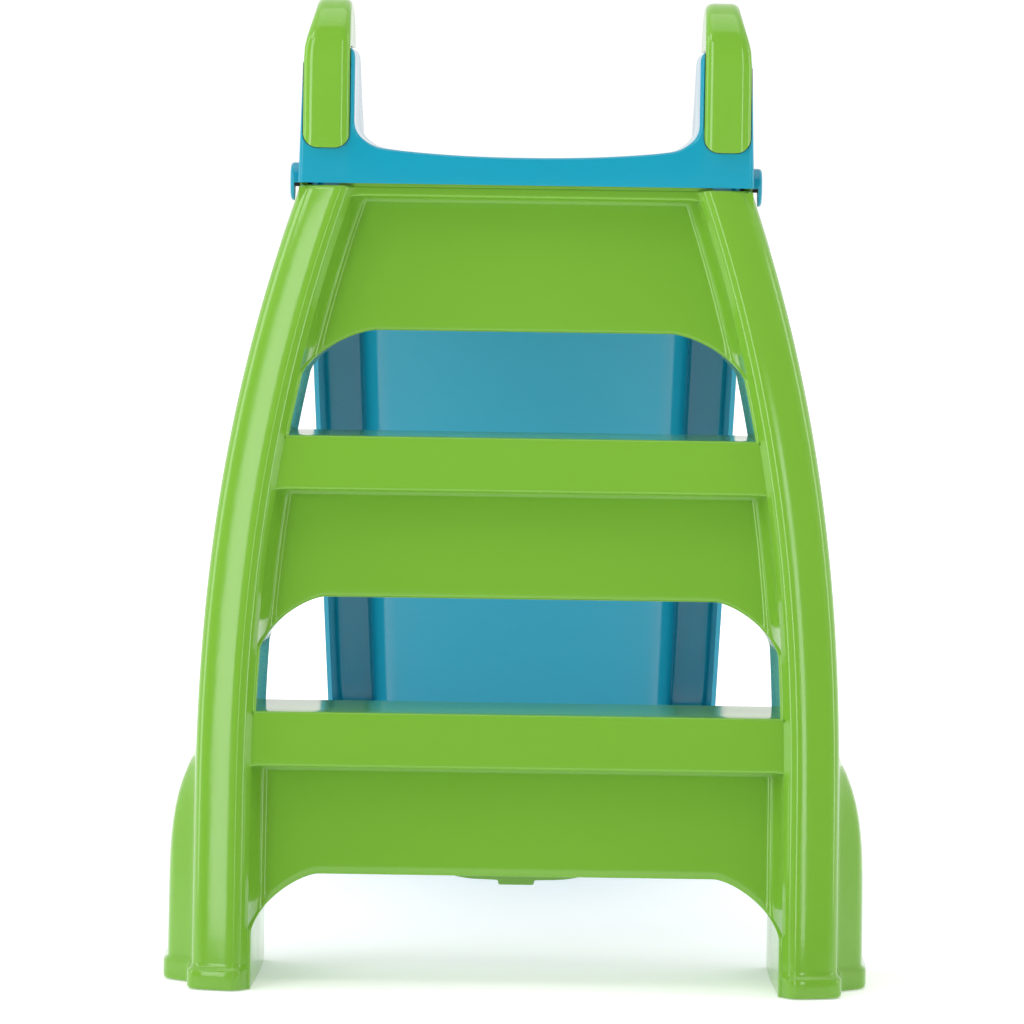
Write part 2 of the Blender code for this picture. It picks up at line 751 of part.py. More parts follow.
def build_pin(name, side, steel):
    def place(u, v, along):
        return (side * along, PIVOT_Y + u, PIVOT_Z + v)

    head = LUG_INNER - GAP
    profile = (
        (PIN_HEAD - 1.4 * MM, head - 2.4 * MM), (PIN_HEAD, head - 1.6 * MM), (PIN_HEAD, head),
        (PIN_RADIUS, head + 0.01 * MM), (PIN_RADIUS, EAR_OUTER - 0.8 * MM),
        (PIN_RADIUS - 0.5 * MM, EAR_OUTER - 0.3 * MM),
    )
    bm = bmesh.new()
    turned(bm, profile, 16, place)
    return add_object(name, bm, steel, (0.0, PIVOT_Y, PIVOT_Z))


def build_screw(name, side, y, steel):
    def place(u, v, along):
        return (side * SCREW_X + u, y + v, along)

    seat = DECK_HEIGHT + FIN_HEIGHT - WALL - GAP
    profile = (
        (2.4 * MM, seat - 2.6 * MM), (SCREW_HEAD, seat - 1.2 * MM), (SCREW_HEAD, seat),
        (SCREW_SHANK, seat + 0.01 * MM), (SCREW_SHANK, seat + SCREW_LENGTH - 3 * MM),
        (0.3 * MM, seat + SCREW_LENGTH - GAP),
    )
    bm = bmesh.new()
    turned(bm, profile, 12, place)
    return add_object(name, bm, steel, (side * SCREW_X, y, seat))


# ---- assembly -----------------------------------------------------------------------
def keep_place(child, parent):
    child.parent = parent
    child.matrix_parent_inverse = parent.matrix_world.inverted()


def main():
    clear_scene()
    green = material("green_plastic", GREEN, 0.22)
    blue = material("blue_plastic", BLUE, 0.25)
    pin_plastic = material("pin_plastic", DARK, 0.35)
    steel = material("screw_steel", STEEL, 0.3, 1.0)

    hinge = bpy.data.objects.new("ladder_hinge_axis", None)
    hinge.location = (0.0, PIVOT_Y, PIVOT_Z)
    bpy.context.scene.collection.objects.link(hinge)
    bpy.context.view_layer.update()

    build_chute(blue)
    keep_place(build_ladder(green), hinge)
    for word, side in (("left", -1), ("right", 1)):
        build_handrail(f"handrail_{word}", side, green)
        build_pin(f"hinge_pin_{word}", side, pin_plastic)
        for place, y in zip(("rear", "front"), SCREW_Y):
            build_screw(f"handrail_screw_{word}_{place}", side, y, steel)


main()
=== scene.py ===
"""Looks of the toddler slide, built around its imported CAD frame. Metres, +Z up.

The ladder, the chute and the handrails are modelled here again with the CAD's own
dimensions, but with rounded edges and smooth curves. The pins and screws keep their
CAD meshes and get materials.
"""

import json
from math import cos, hypot, pi, radians, sin, tan

import bmesh
import bpy
from mathutils import Matrix, Vector


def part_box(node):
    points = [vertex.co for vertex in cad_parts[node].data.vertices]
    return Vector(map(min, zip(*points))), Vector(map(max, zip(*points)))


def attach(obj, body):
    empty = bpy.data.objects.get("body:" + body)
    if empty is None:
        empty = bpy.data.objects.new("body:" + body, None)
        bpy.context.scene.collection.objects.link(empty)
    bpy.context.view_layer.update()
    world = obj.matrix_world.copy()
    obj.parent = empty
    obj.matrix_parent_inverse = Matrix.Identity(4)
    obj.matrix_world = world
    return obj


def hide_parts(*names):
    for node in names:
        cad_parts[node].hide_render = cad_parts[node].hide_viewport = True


MM = 0.001

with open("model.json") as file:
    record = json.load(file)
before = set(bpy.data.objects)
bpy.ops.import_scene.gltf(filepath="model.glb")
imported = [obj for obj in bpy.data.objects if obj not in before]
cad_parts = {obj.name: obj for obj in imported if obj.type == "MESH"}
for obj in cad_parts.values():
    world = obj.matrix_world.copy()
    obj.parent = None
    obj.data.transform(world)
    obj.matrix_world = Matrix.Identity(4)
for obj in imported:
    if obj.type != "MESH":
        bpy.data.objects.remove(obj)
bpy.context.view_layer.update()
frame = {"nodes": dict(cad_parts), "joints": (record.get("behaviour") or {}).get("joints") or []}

# ---- places and sizes, from the frame -----------------------------------------------
hinge = frame["joints"][0]
PIVOT_Y, PIVOT_Z = hinge["pos_m"][1], hinge["pos_m"][2]
chute_low, chute_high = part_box("slide_chute")
ladder_low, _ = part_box("ladder_frame")
rail_low, rail_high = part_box("handrail_right")

FEET_BACK = ladder_low[1]
DECK_BACK = chute_low[1]
CHUTE_END = chute_high[1]
FIN_TOP = chute_high[2]
WALL = 3 * MM

SLOPE = radians(36)
SLIDE_HALF_WIDTH = 137.5 * MM
DECK_HALF_WIDTH = 135.7 * MM
DECK_HEIGHT = FIN_TOP - 65 * MM
BED_DROP = 16.4 * MM
DECK_UNDER = DECK_HEIGHT - BED_DROP
LOWER_EDGE_BEND = -248.6 * MM
DECK_BEND_RADIUS = 100 * MM
RUN_OUT_RADIUS = 345 * MM
EXIT_SLOPE = radians(4)
RUN_OUT_TAIL = 4 * MM
EXIT_FLARE = chute_high[0] - SLIDE_HALF_WIDTH
FLARE_LENGTH = 130 * MM
NARROW_TO = 150 * MM
WIDEN_LENGTH = 250 * MM
SIDE_DRAFT = 0.028
FIN_HEIGHT = FIN_TOP - DECK_HEIGHT
RAIL_HEIGHT = 40 * MM
FIN_LENGTH = 100 * MM
FIN_FALL = 52 * MM
RAIL_INNER = 104.5 * MM
BED_EDGE = 93 * MM
BED_SAG = 5 * MM
SAG_POWER = 2.2
DECK_EDGE = 2.2 * MM              # radius of the deck's rear edge

LADDER_TOP = 472.2 * MM
LEG_LEAN = 78.5 * MM
LEAN_RISE = 474 * MM              # the legs' fronts lean back LEG_LEAN over this height
LEAN_POWER = 1.25
LEG_BULGE_Z = 110 * MM
LEG_HALF_WIDTH = 190.5 * MM
LEG_TAPER = 52.4 * MM
TAPER_RISE = 353 * MM             # the legs draw in by LEG_TAPER over this height
TAPER_POWER = 2.27
LEG_WIDTH = 36 * MM
NOSE_BACK = 8 * MM
PANEL_BACK = 20 * MM
STEP_DEPTH = 80 * MM
STEP_HEIGHT = 32 * MM
STEP_TOPS = (162 * MM, 324 * MM)
TOP_LIP = 6.5 * MM
LIP_HALF_WIDTH = 112 * MM
LIP_TOP = 475.4 * MM
FOOT_DEPTH = 143 * MM
FOOT_FLARE = 16 * MM
FLARE_TOP = 137 * MM
FLARE_FULL = 50 * MM
FLARE_POWER = 3.3
FOOT_LIP = 2.5 * MM
FOOT_LIP_HEIGHT = 12 * MM
REAR_DRAFT = 1.5 * MM
FOLD_CUT = radians(60)            # slope of the leg tops' rear, which clears the chute
OPENINGS = (
    (0.0, 65.4 * MM, 38 * MM, 32 * MM),
    (162 * MM, 228 * MM, 37 * MM, 30 * MM),
    (324 * MM, 386 * MM, 43 * MM, 27 * MM),
)
CORNER_POWER = 1.5
COVE_WIDTH = 9 * MM
COVE_POWER = 2.2
SIDE_WALL_DRAFT = 2.2 * MM        # the openings' side walls close in this much to the rear
EDGE = 1.8 * MM                   # radius of the ladder's rounded edges
LADDER_SKIN = 2.2 * MM
MERGE_GAP = 0.02 * MM

LUG_RADIUS = 8.9 * MM
LUG_INNER = 130.7 * MM
LUG_OUTER = 135.4 * MM
EAR_RADIUS = 11.5 * MM
EAR_OUTER = 141.2 * MM
EAR_INNER = 138.8 * MM
EAR_EDGE = 2.2 * MM
PIN_BORE = 3.3 * MM
RIB_FRONT = 9.7 * MM              # stop ribs, measured from the deck's rear
RIB_REAR = 19 * MM

GRIP_INNER, GRIP_OUTER = rail_low[0], rail_high[0]
HANDRAIL_FOOT, HANDRAIL_TOP = rail_low[2], rail_high[2]
HANDRAIL_REAR, HANDRAIL_FRONT = rail_low[1], rail_high[1]
POCKET_DEPTH = 11.5 * MM
POCKET_CLEARANCE = 0.5 * MM
POCKET_CORNER = 9 * MM
HANDRAIL_SEAT = FIN_TOP + 0.3 * MM
HANDRAIL_SPRING = 554 * MM        # height where the straight back turns into the arch
HANDRAIL_TOP_BACK = 30 * MM
HANDRAIL_EDGE = 7 * MM
HANDRAIL_EDGE_DEPTH = 4 * MM
LEAN_FROM = 548 * MM
LEAN_SHARE = 0.26

FLOOR_REACH = 30.0
FLOOR_GAP = 0.5 * MM
LIGHTS = (                        # name, place, aim, size, watts
    ("band_left", (-1.72, -3.45, 1.25), (-0.17, -0.45, 0.3), (1.0, 2.1), 30),
    ("band_right", (1.15, -3.65, 0.95), (0.17, -0.45, 0.3), (0.4, 1.35), 8),
    ("key", (-2.3, -2.3, 2.7), (0, -0.4, 0.25), (1.0, 1.0), 16),
    ("side_left", (-3.0, -1.1, 1.2), (0, -0.4, 0.25), (0.7, 2.2), 18),
    ("side_right", (3.0, -1.0, 1.0), (0, -0.4, 0.25), (0.5, 1.8), 12),
    ("top", (0.0, -0.6, 3.0), (0, -0.2, 0.0), (2.5, 2.5), 24),
)
CAMERA_PLACE = (0.012, FEET_BACK - 3.45, 0.488)
CAMERA_TURN = (3.388, 0.285, 0.83)   # pitch, yaw and roll in degrees
CAMERA_LENS = 208.4


# ---- helpers ------------------------------------------------------------------------
def smooth_step(t):
    t = min(1.0, max(0.0, t))
    return t * t * (3 - 2 * t)


def spread(low, high, count):
    """count values from low to high, both included."""
    return [low + (high - low) * i / (count - 1) for i in range(count)]


def offset_path(points, distance):
    """An open path moved sideways to its right-hand side, with mitred corners."""
    result = []
    for i, (x, y) in enumerate(points):
        normals = []
        for a, b in ((i - 1, i), (i, i + 1)):
            if 0 <= a and b < len(points):
                dx = points[b][0] - points[a][0]
                dy = points[b][1] - points[a][1]
                length = hypot(dx, dy)
                if length > 1e-9:
                    normals.append((dy / length, -dx / length))
        nx = sum(n[0] for n in normals) / len(normals)
        ny = sum(n[1] for n in normals) / len(normals)
        scale = distance / (nx * nx + ny * ny)
        result.append((x + nx * scale, y + ny * scale))
    return result


def rounded(points, radii, steps=5):
    """A polyline with each inner corner replaced by a smooth bend of steps + 1 points."""
    made = [points[0]]
    for i in range(1, len(points) - 1):
        corner = Vector(points[i])
        before = Vector(points[i - 1]) - corner
        after = Vector(points[i + 1]) - corner
        reach = min(radii[i - 1], 0.48 * before.length, 0.48 * after.length)
        start = corner + before.normalized() * reach
        end = corner + after.normalized() * reach
        for k in range(steps + 1):
            t = k / steps
            p = start * (1 - t) ** 2 + corner * 2 * t * (1 - t) + end * t * t
            made.append(tuple(p))
    made.append(points[-1])
    return made


def add_grid(bm, rows):
    """Quads through rows of points; points that meet are merged later."""
    made = [[bm.verts.new(p) for p in row] for row in rows]
    for a, b in zip(made, made[1:]):
        for i in range(len(a) - 1):
            bm.faces.new((a[i], a[i + 1], b[i + 1], b[i]))


def loft(bm, rings, strip_ends=False):
    """A closed solid through rings of points."""
    made = [[bm.verts.new(p) for p in ring] for ring in rings]
    count = len(made[0])
    for a, b in zip(made, made[1:]):
        for i in range(count):
            j = (i + 1) % count
            bm.faces.new((a[i], a[j], b[j], b[i]))
    for ring in (made[0], made[-1]):
        if strip_ends:
            for i in range(count // 2 - 1):
                bm.faces.new((ring[i], ring[i + 1], ring[count - 2 - i], ring[count - 1 - i]))
        else:
            bm.faces.new(ring)
    bmesh.ops.recalc_face_normals(bm, faces=bm.faces)


def prism_x(bm, outline, x0, x1):
    loft(bm, [[(x, y, z) for y, z in outline] for x in (x0, x1)])


def prism_y(bm, outline, y0, y1):
    loft(bm, [[(x, y, z) for x, z in outline] for y in (y0, y1)])


def circle(cy, cz, radius, count):
    turns = [2 * pi * i / count for i in range(count)]
    return [(cy + radius * cos(a), cz + radius * sin(a)) for a in turns]


def add_mirror_image(bm):
    twin = bmesh.ops.duplicate(bm, geom=bm.verts[:] + bm.edges[:] + bm.faces[:])
    for v in twin["geom"]:
        if isinstance(v, bmesh.types.BMVert):
            v.co.x = -v.co.x
    faces = [g for g in twin["geom"] if isinstance(g, bmesh.types.BMFace)]
    bmesh.ops.reverse_faces(bm, faces=faces)


def add_object(name, bm, mat=None):
    mesh = bpy.data.meshes.new(name)
    bm.to_mesh(mesh)
    bm.free()
    ob = bpy.data.objects.new(name, mesh)
    bpy.context.scene.collection.objects.link(ob)
    if mat:
        mesh.materials.append(mat)
    return ob


def combine(ob, bm, operation, name):
    """Applies a Boolean with the bmesh to the object and removes the cutter.

    The handrail pockets run out through the leaning side walls, which needs the
    solver's slower self-crossing mode.
    """
    cutter = add_object(name, bm)
    mod = ob.modifiers.new(name, "BOOLEAN")
    mod.operation = operation
    mod.object = cutter
    mod.solver = "EXACT"
    mod.use_self = name == "pockets"
    apply_modifiers(ob)
    bpy.data.objects.remove(cutter, do_unlink=True)


def apply_modifiers(ob):
    bpy.context.view_layer.update()
    depsgraph = bpy.context.evaluated_depsgraph_get()
    mesh = bpy.data.meshes.new_from_object(ob.evaluated_get(depsgraph))
    ob.modifiers.clear()
    ob.data = mesh


def shade(ob, angle):
    """Smooth shading with edges sharper than this many degrees kept crisp."""
    ob.data.shade_smooth()
    ob.data.set_sharp_from_angle(angle=radians(angle))


# ---- materials ----------------------------------------------------------------------
def add_node(nodes, kind, values):
    """A shader node with these inputs set."""
    node = nodes.new(kind)
    for name, value in values.items():
        node.inputs[name].default_value = value
    return node


def add_noise(nodes, links, place, scale, detail):
    noise = add_node(nodes, "ShaderNodeTexNoise", {"Scale": scale, "Detail": detail})
    links.new(place, noise.inputs["Vector"])
    return noise.outputs["Fac"]


def add_colours(nodes, links, share, first, second):
    mix = nodes.new("ShaderNodeMix")
    mix.data_type = "RGBA"
    mix.inputs["A"].default_value = (*first, 1.0)
    mix.inputs["B"].default_value = (*second, 1.0)
    links.new(share, mix.inputs["Factor"])
    return mix.outputs["Result"]


def add_range(nodes, links, source, values, smooth=False):
    scaled = add_node(nodes, "ShaderNodeMapRange", values)
    if smooth:
        scaled.interpolation_type = "SMOOTHSTEP"
    links.new(source, scaled.inputs["Value"])
    return scaled.outputs["Result"]


def plastic(name, deep, bright, roughness, wear=0.0, gloss=0.5):
    """Moulded plastic: a faint drift of colour, orange-peel bump and fine scuffs."""
    mat = bpy.data.materials.new(name)
    mat.use_nodes = True
    nodes, links = mat.node_tree.nodes, mat.node_tree.links
    shader = nodes["Principled BSDF"]
    shader.inputs["IOR"].default_value = 1.49
    shader.inputs["Specular IOR Level"].default_value = gloss
    place = nodes.new("ShaderNodeTexCoord").outputs["Object"]

    drift = add_noise(nodes, links, place, 3.5, 3.0)
    links.new(add_colours(nodes, links, drift, deep, bright), shader.inputs["Base Color"])

    mottle = add_noise(nodes, links, place, 14.0, 5.0)
    stretch = {"Scale": (420.0, 36.0, 60.0), "Rotation": (0.3, 0.2, 0.5)}
    scuff_place = add_node(nodes, "ShaderNodeMapping", stretch)
    links.new(place, scuff_place.inputs["Vector"])
    scuffs = add_noise(nodes, links, scuff_place.outputs["Vector"], 1.0, 6.0)
    worn = add_range(nodes, links, scuffs, {"From Min": 0.6, "From Max": 0.8, "To Max": wear})
    base_rough = add_range(nodes, links, mottle, {
        "From Min": 0.3, "From Max": 0.7,
        "To Min": roughness - 0.035, "To Max": roughness + 0.045,
    })
    rough = nodes.new("ShaderNodeMath")
    rough.operation = "ADD"
    links.new(base_rough, rough.inputs[0])
    links.new(worn, rough.inputs[1])
    links.new(rough.outputs["Value"], shader.inputs["Roughness"])

    peel = add_noise(nodes, links, place, 160.0, 2.0)
    bump = add_node(nodes, "ShaderNodeBump", {"Strength": 0.035, "Distance": 0.001})
    links.new(peel, bump.inputs["Height"])
    links.new(bump.outputs["Normal"], shader.inputs["Normal"])
    return mat


def metal(name, colour, roughness):
    """Zinc-plated steel with fine turning marks."""
    mat = bpy.data.materials.new(name)
    mat.use_nodes = True
    nodes, links = mat.node_tree.nodes, mat.node_tree.links
    shader = nodes["Principled BSDF"]
    shader.inputs["Metallic"].default_value = 1.0
    place = nodes.new("ShaderNodeTexCoord").outputs["Object"]
    marks = add_noise(nodes, links, place, 900.0, 3.0)
    lighter = [c * 1.25 for c in colour]
    links.new(add_colours(nodes, links, marks, colour, lighter), shader.inputs["Base Color"])
    limits = {"To Min": roughness - 0.08, "To Max": roughness + 0.1}
    links.new(add_range(nodes, links, marks, limits), shader.inputs["Roughness"])
    return mat


# ---- ladder -------------------------------------------------------------------------
def leg_outer(z):
    rise = max(0.0, z - LEG_BULGE_Z) / TAPER_RISE
    return LEG_HALF_WIDTH - LEG_TAPER * rise ** TAPER_POWER


def leg_front(z):
    return FEET_BACK + FOOT_LIP + LEG_LEAN * (max(z, 0.0) / LEAN_RISE) ** LEAN_POWER


def nose(z):
    return leg_front(z) + NOSE_BACK


def steps_rear(z):
    return nose(z) + STEP_DEPTH


def fold_limit(z):
    return PIVOT_Y - 1.5 * MM + (LADDER_TOP - z) / tan(FOLD_CUT)


def flare(z):
    t = min(1.0, max(0.0, (FLARE_TOP - z) / (FLARE_TOP - FLARE_FULL)))
    return 1 - (1 - t) ** FLARE_POWER


def opening_rear(z):
    return min(steps_rear(z), fold_limit(z))


def ladder_rear(z):
    return opening_rear(z) + flare(z) * (FEET_BACK + FOOT_DEPTH - steps_rear(z))


def foot_lip(z):
    """How far the foot's lip stands out at this height, with a rounded lower edge."""
    lip = FOOT_LIP * (1 - smooth_step((z - FOOT_LIP_HEIGHT + 1.5 * MM) / (3.5 * MM)))
    under = 2 * MM
    if z < under:
        lip -= under - (under ** 2 - (under - z) ** 2) ** 0.5
    return lip


def side_line(z):
    """X where a leg's front meets the steps, panels and openings."""
    return leg_outer(z) - LEG_WIDTH + 0.8 * MM + EDGE


def leg_profile(z):
    """One leg's skin at this height, from its rear edge round the front to the steps."""
    outer = leg_outer(z)
    front = leg_front(z)
    rear = ladder_rear(z)
    wing = FOOT_FLARE * flare(z)
    lip = foot_lip(z)
    draft = REAR_DRAFT * smooth_step((LADDER_TOP - z) / (80 * MM))

    def back(distance, from_rear):
        return min(front + distance * MM, rear - from_rear * MM)

    points = [
        (outer + wing + lip + draft, rear),
        (outer + wing + lip + draft / 3, back(57, 4)),
        (outer + 0.94 * wing + lip, back(48, 7)),
        (outer + 0.25 * wing + lip, back(38.5, 11)),
        (outer + lip - 0.2 * MM, back(34, 14)),
        (outer + lip - 0.4 * MM, front - lip + 12 * MM),
        (outer + lip - 2.4 * MM, front - lip + 7.2 * MM),
        (outer + 0.5 * lip - 6.8 * MM, front - lip + 4.4 * MM),
        (outer - 13 * MM, front - lip + 2.6 * MM),
        (outer - 18 * MM, front - lip + 1.4 * MM),
        (outer - 22 * MM, front - lip + 0.75 * MM),
        (outer - 25.5 * MM, front - lip + 0.5 * MM),
        (outer - 29.5 * MM, front - lip + 2.8 * MM),
        (side_line(z), nose(z) - 0.3 * lip),
    ]
    radii = [4, 6, 5, 3, 5, 2, 2, 3, 3, 3, 1.6, 1.4]
    return rounded(points, [r * MM for r in radii], 4)


def cove(distance):
    """Depth of a panel behind the step front at this distance from the side line."""
    share = min(1.0, max(0.0, distance / COVE_WIDTH))
    return PANEL_BACK * (1 - (1 - share) ** COVE_POWER)


def ledge_rows(under):
    """(z, depth share) down the underside of a step front, from the panel to its face."""
    hollow = 4 * MM
    edge = EDGE
    rows = []
    for i in range(7):
        a = i * pi / 12
        depth = PANEL_BACK - hollow * (1 - cos(a))
        rows.append((under - hollow * (1 - sin(a)), depth / PANEL_BACK))
    for share in (0.6, 0.3):
        rows.append((under, share))
    for i in range(6):
        b = i * pi / 10
        rows.append((under + edge * (1 - cos(b)), edge * (1 - sin(b)) / PANEL_BACK))
    return rows


def panel_columns(opening):
    """(share of the side line, lower edge height) for each column of a panel."""
    _, top, corner_x, corner_z = opening
    spring = top - corner_z
    columns = []
    for i in range(25):
        a = i * pi / 48
        z = spring + (corner_z + EDGE) * sin(a) ** (2 / CORNER_POWER)
        x = side_line(spring) - (corner_x + EDGE) * (1 - cos(a) ** (2 / CORNER_POWER))
        columns.append((min(1.0, x / side_line(z)), z))
    last_share, last_z = columns[-1]
    for share in spread(last_share, 0.0, 13)[1:]:
        columns.append((share, last_z))
    return columns


def panel_rows(opening, under, top):
    """A recessed panel and the step front above it, from its lower edge upwards."""
    columns = panel_columns(opening)
    ledge = ledge_rows(under)
    first = ledge[0][0]
    rows = []
    for v in spread(0.0, 1.0, 12)[:-1]:
        row = []
        for share, low in columns:
            z = low + (first - low) * v
            x = side_line(z) * share
            row.append((x, nose(z) + cove(side_line(z) - x), z))
        rows.append(row)
    face = [(z, 0.0) for z in spread(ledge[-1][0], top - EDGE, 5)[1:]]
    for z, depth_share in ledge + face:
        row = []
        for share, _ in columns:
            x = side_line(z) * share
            depth = depth_share * cove(side_line(z) - x)
            row.append((x, nose(z) + depth, z))
        rows.append(row)
    return rows


def taper(x):
    """How much an opening's wall closes in from its front to its rear."""
    return SIDE_WALL_DRAFT * smooth_step((x - 105 * MM) / (20 * MM))


def tunnel(bm, edge, rear_of, closed_floor=False):
    """An opening's walls: a rounded front edge, then straight back to the rear."""
    flat = [(x, z) for x, _, z in edge]
    rows = []
    for i in range(6):
        a = i * pi / 10
        moved = offset_path(flat, -EDGE * sin(a))
        row = []
        for (x, z), (x0, y, z0) in zip(moved, edge):
            if x0 == 0.0:
                x = 0.0
            if closed_floor and z0 == edge[0][2]:
                z = z0
            row.append((x, y + EDGE * (1 - cos(a)), z))
        rows.append(row)
    front = rows[-1]
    for t in spread(0.0, 1.0, 6)[1:]:
        rows.append([(x - taper(x) * t, y + (rear_of(z) - y) * t, z) for x, y, z in front])
    add_grid(bm, rows)
    return rows


def ladder_skin(bm):
    """The right half of the ladder's outer skin."""
    panels = []
    unders = [top - STEP_HEIGHT for top in STEP_TOPS] + [LADDER_TOP - TOP_LIP]
    tops = list(STEP_TOPS) + [LADDER_TOP]
    for opening, under, top in zip(OPENINGS, unders, tops):
        rows = panel_rows(opening, under, top)
        add_grid(bm, rows)
        panels.append(rows)

    lip_heights = [0, 0.4, 1, 2, 4, 7, 10, 11, 12, 13, 14, 15.5, 20, 29]
    side = [[z * MM for z in lip_heights]]
    for index, rows in enumerate(panels):
        side.append([row[0][2] for row in rows])
        if index < 2:
            low = rows[-1][0][2]
            high = panels[index + 1][0][0][2]
            side.append(spread(low, high, 8)[1:-1])
    heights = [z for part in side for z in part]
    leg = [leg_profile(z) for z in heights]
    add_grid(bm, [[(x, y, z) for x, y in row] for row, z in zip(leg, heights)])

    foot_edge = [(side_line(z), nose(z) - 0.3 * foot_lip(z), z) for z in side[0]]
    foot_edge.append(panels[0][0][0])
    foot_tunnel(bm, foot_edge, panels[0][0])
    for lower, upper in zip(panels, panels[1:]):
        low = lower[-1][0][2]
        high = upper[0][0][2]
        edge = list(reversed(lower[-1]))
        edge += [(side_line(z), nose(z), z) for z in spread(low, high, 8)[1:-1]]
        edge += upper[0]
        tunnel(bm, edge, opening_rear)
    ladder_top(bm, leg[-1], panels[-1][-1])


def foot_tunnel(bm, side, arch):
    """The inner face of a foot, the arch above it and the wall behind the step."""
    edge = side + arch[1:]
    rows = tunnel(bm, edge, opening_rear, closed_floor=True)
    last = rows[-1]
    count = len(side)
    back = []
    for t in spread(0.0, 1.0, 5):
        back.append([(x, y + (ladder_rear(z) - y) * t, z) for x, y, z in last[:count]])
    add_grid(bm, back)
    x, _, z0 = last[count - 1]
    wall = []
    for z in [z0] + spread(z0, FLARE_TOP, 16)[1:]:
        y0 = opening_rear(z)
        wall.append([(x, y0 + (ladder_rear(z) - y0) * t, z) for t in spread(0.0, 1.0, 5)])
    add_grid(bm, wall)
    bottom_rows = [row[0] for row in rows] + [row[0] for row in back[1:]]
    profile = [(px, py, 0.0) for px, py in leg_profile(0.0)]
    ring = [bm.verts.new(p) for p in profile[:-1] + bottom_rows]
    bm.faces.new(ring)


def ladder_top(bm, leg_row, step_row):
    """The rounded top edge and the short flat top behind it."""
    path = leg_row + [(x, y) for x, y, _ in step_row[1:]]
    rows = []
    for i in range(6):
        a = i * pi / 10
        inset = offset_path(path, EDGE * (1 - cos(a)))
        inset[-1] = (0.0, inset[-1][1])
        z = LADDER_TOP - EDGE * (1 - sin(a))
        rows.append([(x, y, z) for x, y in inset])
    add_grid(bm, rows)
    last = rows[-1]
    rear = last[0][1]
    ring = [bm.verts.new(p) for p in last + [(0.0, rear, LADDER_TOP)]]
    bm.faces.new(ring)


def ladder_lugs(bm):
    """A gusset inside each leg's top with the eye for the pin."""
    eye = [
        (PIVOT_Y + LUG_RADIUS * cos(a), PIVOT_Z + LUG_RADIUS * sin(a))
        for a in [radians(-65 + 7.5 * i) for i in range(37)]
    ]
    top_front = (leg_front(LADDER_TOP) + 5 * MM, LADDER_TOP - 1.2 * MM)
    outline = eye + [
        top_front,
        (top_front[0] - 1.5 * MM, LADDER_TOP - 30 * MM),
        (PIVOT_Y - 9 * MM, LADDER_TOP - 30 * MM),
    ]
    prism_x(bm, outline, LUG_INNER, LUG_OUTER)


def catch_lip(bm):
    """The shallow lip with a tab under the bottom step's rear edge."""
    rear = steps_rear(66 * MM)
    corners = [
        (0.0, 53.8 * MM), (10.5 * MM, 53.8 * MM), (11 * MM, 56.6 * MM),
        (30 * MM, 57.2 * MM), (42.5 * MM, 60 * MM), (42.5 * MM, 66.2 * MM),
    ]
    half = rounded(corners, [1 * MM, 0.8 * MM, 12 * MM, 2 * MM])
    outline = half + [(-x, z) for x, z in reversed(half[1:])]
    prism_y(bm, outline, rear - 3.5 * MM, rear - 0.5 * MM)


def raised_lip(bm):
    """The middle of the top edge, which stands up inside the deck's rear wall."""
    front = nose(LADDER_TOP) + 0.15 * MM
    low, top = LADDER_TOP - 1 * MM, LIP_TOP
    inner = LIP_HALF_WIDTH - 3 * MM
    half = [(0.0, top), (inner, top), (LIP_HALF_WIDTH, low + 1.2 * MM), (LIP_HALF_WIDTH, low)]
    outline = half + [(-x, z) for x, z in reversed(half[1:])]
    prism_y(bm, outline, front, front + WALL)


def build_ladder(mat):
    bm = bmesh.new()
    ladder_skin(bm)
    add_mirror_image(bm)
    bmesh.ops.remove_doubles(bm, verts=bm.verts, dist=MERGE_GAP)
    bmesh.ops.recalc_face_normals(bm, faces=bm.faces)
    ladder = add_object("ladder", bm, mat)
    solid = ladder.modifiers.new("wall", "SOLIDIFY")
    solid.thickness = LADDER_SKIN
    solid.offset = -1.0
    apply_modifiers(ladder)
    shade(ladder, 38)
    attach(ladder, "ladder")
    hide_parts("ladder_frame")

    bm = bmesh.new()
    ladder_lugs(bm)
    add_mirror_image(bm)
    lugs = add_object("ladder_lugs", bm, mat)
    bores = bmesh.new()
    bore_reach = 20 * MM
    bore = circle(PIVOT_Y, PIVOT_Z, PIN_BORE, 32)
    prism_x(bores, bore, LUG_INNER - bore_reach, LUG_OUTER + bore_reach)
    add_mirror_image(bores)
    combine(lugs, bores, "DIFFERENCE", "lug_bores")
    shade(lugs, 30)
    bm = bmesh.new()
    catch_lip(bm)
    catch = add_object("step_catch", bm, mat)
    shade(catch, 30)
    bm = bmesh.new()
    raised_lip(bm)
    lip = add_object("ladder_top_lip", bm, mat)
    shade(lip, 30)
    for piece in (lugs, catch, lip):
        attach(piece, "ladder")
        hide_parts("ladder_frame")


